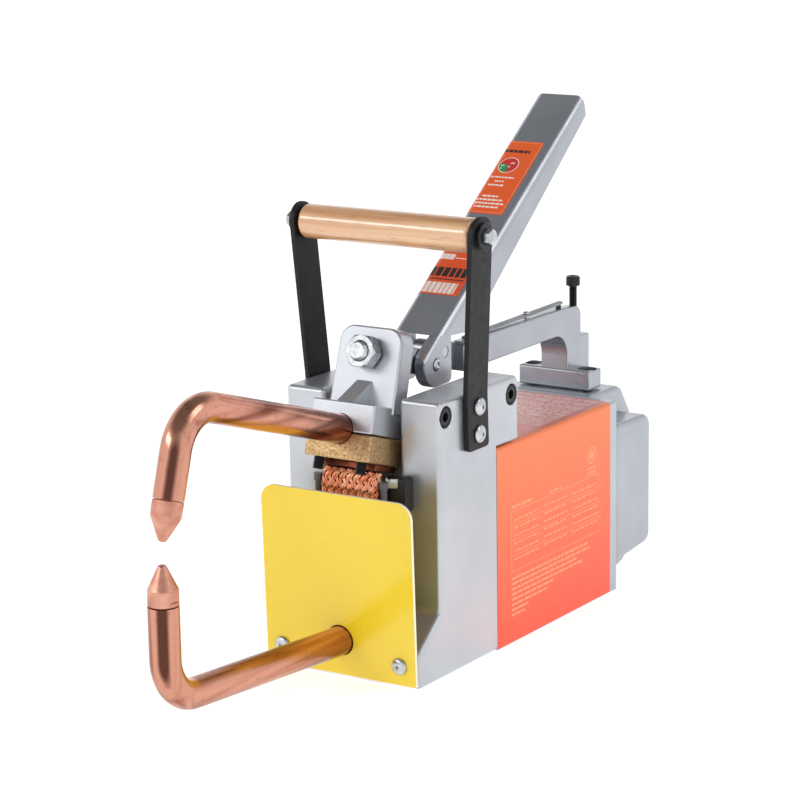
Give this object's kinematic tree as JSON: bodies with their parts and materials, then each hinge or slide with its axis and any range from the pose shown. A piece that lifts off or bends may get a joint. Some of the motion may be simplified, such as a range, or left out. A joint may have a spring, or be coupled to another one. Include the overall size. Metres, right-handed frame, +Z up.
{
  "type": "spot welder",
  "caption": "Portable tong spot welder: boxy silver body, two bent copper tongs, cast hand lever, wooden carrying grip on black straps.",
  "frame": {"origin": "centre of the base's bottom face, on the floor", "axes": "+X to the right side, +Y to the back, +Z up; the tongs point along -Y"},
  "size_m": [0.1302, 0.4443, 0.2895],
  "materials": {
    "silver_paint": "satin silver-grey paint on cast aluminium",
    "cover_steel": "silver-grey painted sheet steel",
    "insulating_board": "yellow laminate board",
    "copper": "polished copper",
    "copper_braid": "woven bare copper",
    "cast_brass": "sand-cast brass",
    "black_steel": "black-oxide or powder-coated steel",
    "zinc": "bright zinc-plated steel",
    "beech": "varnished beech",
    "black_plastic": "black moulded plastic",
    "nylon": "white nylon",
    "core_steel": "bare steel",
    "enamelled_copper": "enamelled copper wire"
  },
  "bodies": {
    "frame": {"front_casting": "silver_paint", "cover": "cover_steel", "base_plate": "cover_steel", "rear_cap": "silver_paint", "cord_gland": "black_plastic", "insulating_board": "insulating_board", "lower_tong": "copper", "lower_tip": "copper", "copper_braid": "copper_braid", "rocker_pivot_pin": "zinc", "lever_fulcrum_pin": "silver_paint", "anchor_arm": "silver_paint", "anchor_screw_1": "black_steel", "anchor_screw_2": "black_steel", "leaf_screw": "zinc", "weld_switch": "black_plastic", "wooden_grip": "beech", "left_strap": "black_steel", "right_strap": "black_steel", "lower_tong_holder": "cast_brass", "terminal_bracket": "black_plastic", "bracket_bolt": "zinc", "left_insulating_stud": "nylon", "right_insulating_stud": "nylon", "return_spring": "zinc", "spring_seat": "core_steel", "transformer_core": "core_steel", "primary_winding": "enamelled_copper", "secondary_winding": "copper", "lower_secondary_bar": "copper", "upper_secondary_bar": "copper", "board_screw_1": "zinc", "left_cheek_screw_1": "black_steel", "left_strap_screw_1": "zinc", "right_cheek_screw_1": "black_steel", "right_strap_screw_1": "zinc", "board_screw_2": "zinc", "left_cheek_screw_2": "black_steel", "left_strap_screw_2": "zinc", "right_cheek_screw_2": "black_steel", "right_strap_screw_2": "zinc", "left_grip_washer": "black_steel", "left_grip_screw": "zinc", "right_grip_washer": "black_steel", "right_grip_screw": "zinc"},
    "rocker_group": {"rocker": "silver_paint", "brass_clamp": "cast_brass", "upper_tong": "copper", "upper_tip": "copper", "braid_lug": "copper_braid", "clamp_screw_1": "black_steel", "clamp_screw_2": "black_steel"},
    "lever_group": {"lever": "silver_paint", "lever_ear_pin": "zinc"},
    "toggle": {"toggle_bolt": "zinc"},
    "nut": {"adjusting_nut": "zinc"},
    "stop_screw": {"pressure_stop_screw": "black_steel"},
    "leaf": {"trigger_leaf": "core_steel"},
    "button": {"switch_button": "black_plastic"}
  },
  "joints": [
    {"name": "lever_hinge", "type": "hinge", "parent": "frame", "child": "lever_group", "pos_m": [0, -0.0246, 0.1652], "axis": [-1, 0, 0], "range_deg": [0, 32.5], "stiffness_Nm_per_rad": 0.6, "springref_deg": -68.75},
    {"name": "rocker_hinge", "type": "hinge", "parent": "frame", "child": "rocker_group", "pos_m": [0, -0.056, 0.122], "axis": [1, 0, 0], "range_deg": [0, 3.1], "deforming": ["copper_braid"]},
    {"name": "toggle_hinge", "type": "hinge", "parent": "lever_group", "child": "toggle", "pos_m": [0, -0.03399, 0.15952], "axis": [1, 0, 0], "range_deg": [0, 42.67]},
    {"name": "nut_turn", "type": "hinge", "parent": "toggle", "child": "nut", "pos_m": [0, -0.08334, 0.17461], "axis": [0, -0.9563, 0.2924], "range_deg": [-180, 180]},
    {"name": "stop_screw_slide", "type": "slide", "parent": "frame", "child": "stop_screw", "axis": [0, 0, 1], "range_m": [-0.01, 0]},
    {"name": "trigger_leaf_hinge", "type": "hinge", "parent": "frame", "child": "leaf", "pos_m": [0.005, 0.014, 0.1658], "axis": [-1, 0, 0], "range_deg": [0, 0.5]},
    {"name": "switch_press", "type": "slide", "parent": "frame", "child": "button", "axis": [0, 0, -1], "range_m": [0, 0.00095]}
  ],
  "couplings": [
    {"joint": "rocker_hinge", "follows": "lever_hinge", "ratio": 0.09538},
    {"joint": "toggle_hinge", "follows": "lever_hinge", "ratio": 1.3127},
    {"joint": "trigger_leaf_hinge", "follows": "lever_hinge", "ratio": 0.01538},
    {"joint": "switch_press", "follows": "lever_hinge", "m_per_rad": 0.00163}
  ]
}
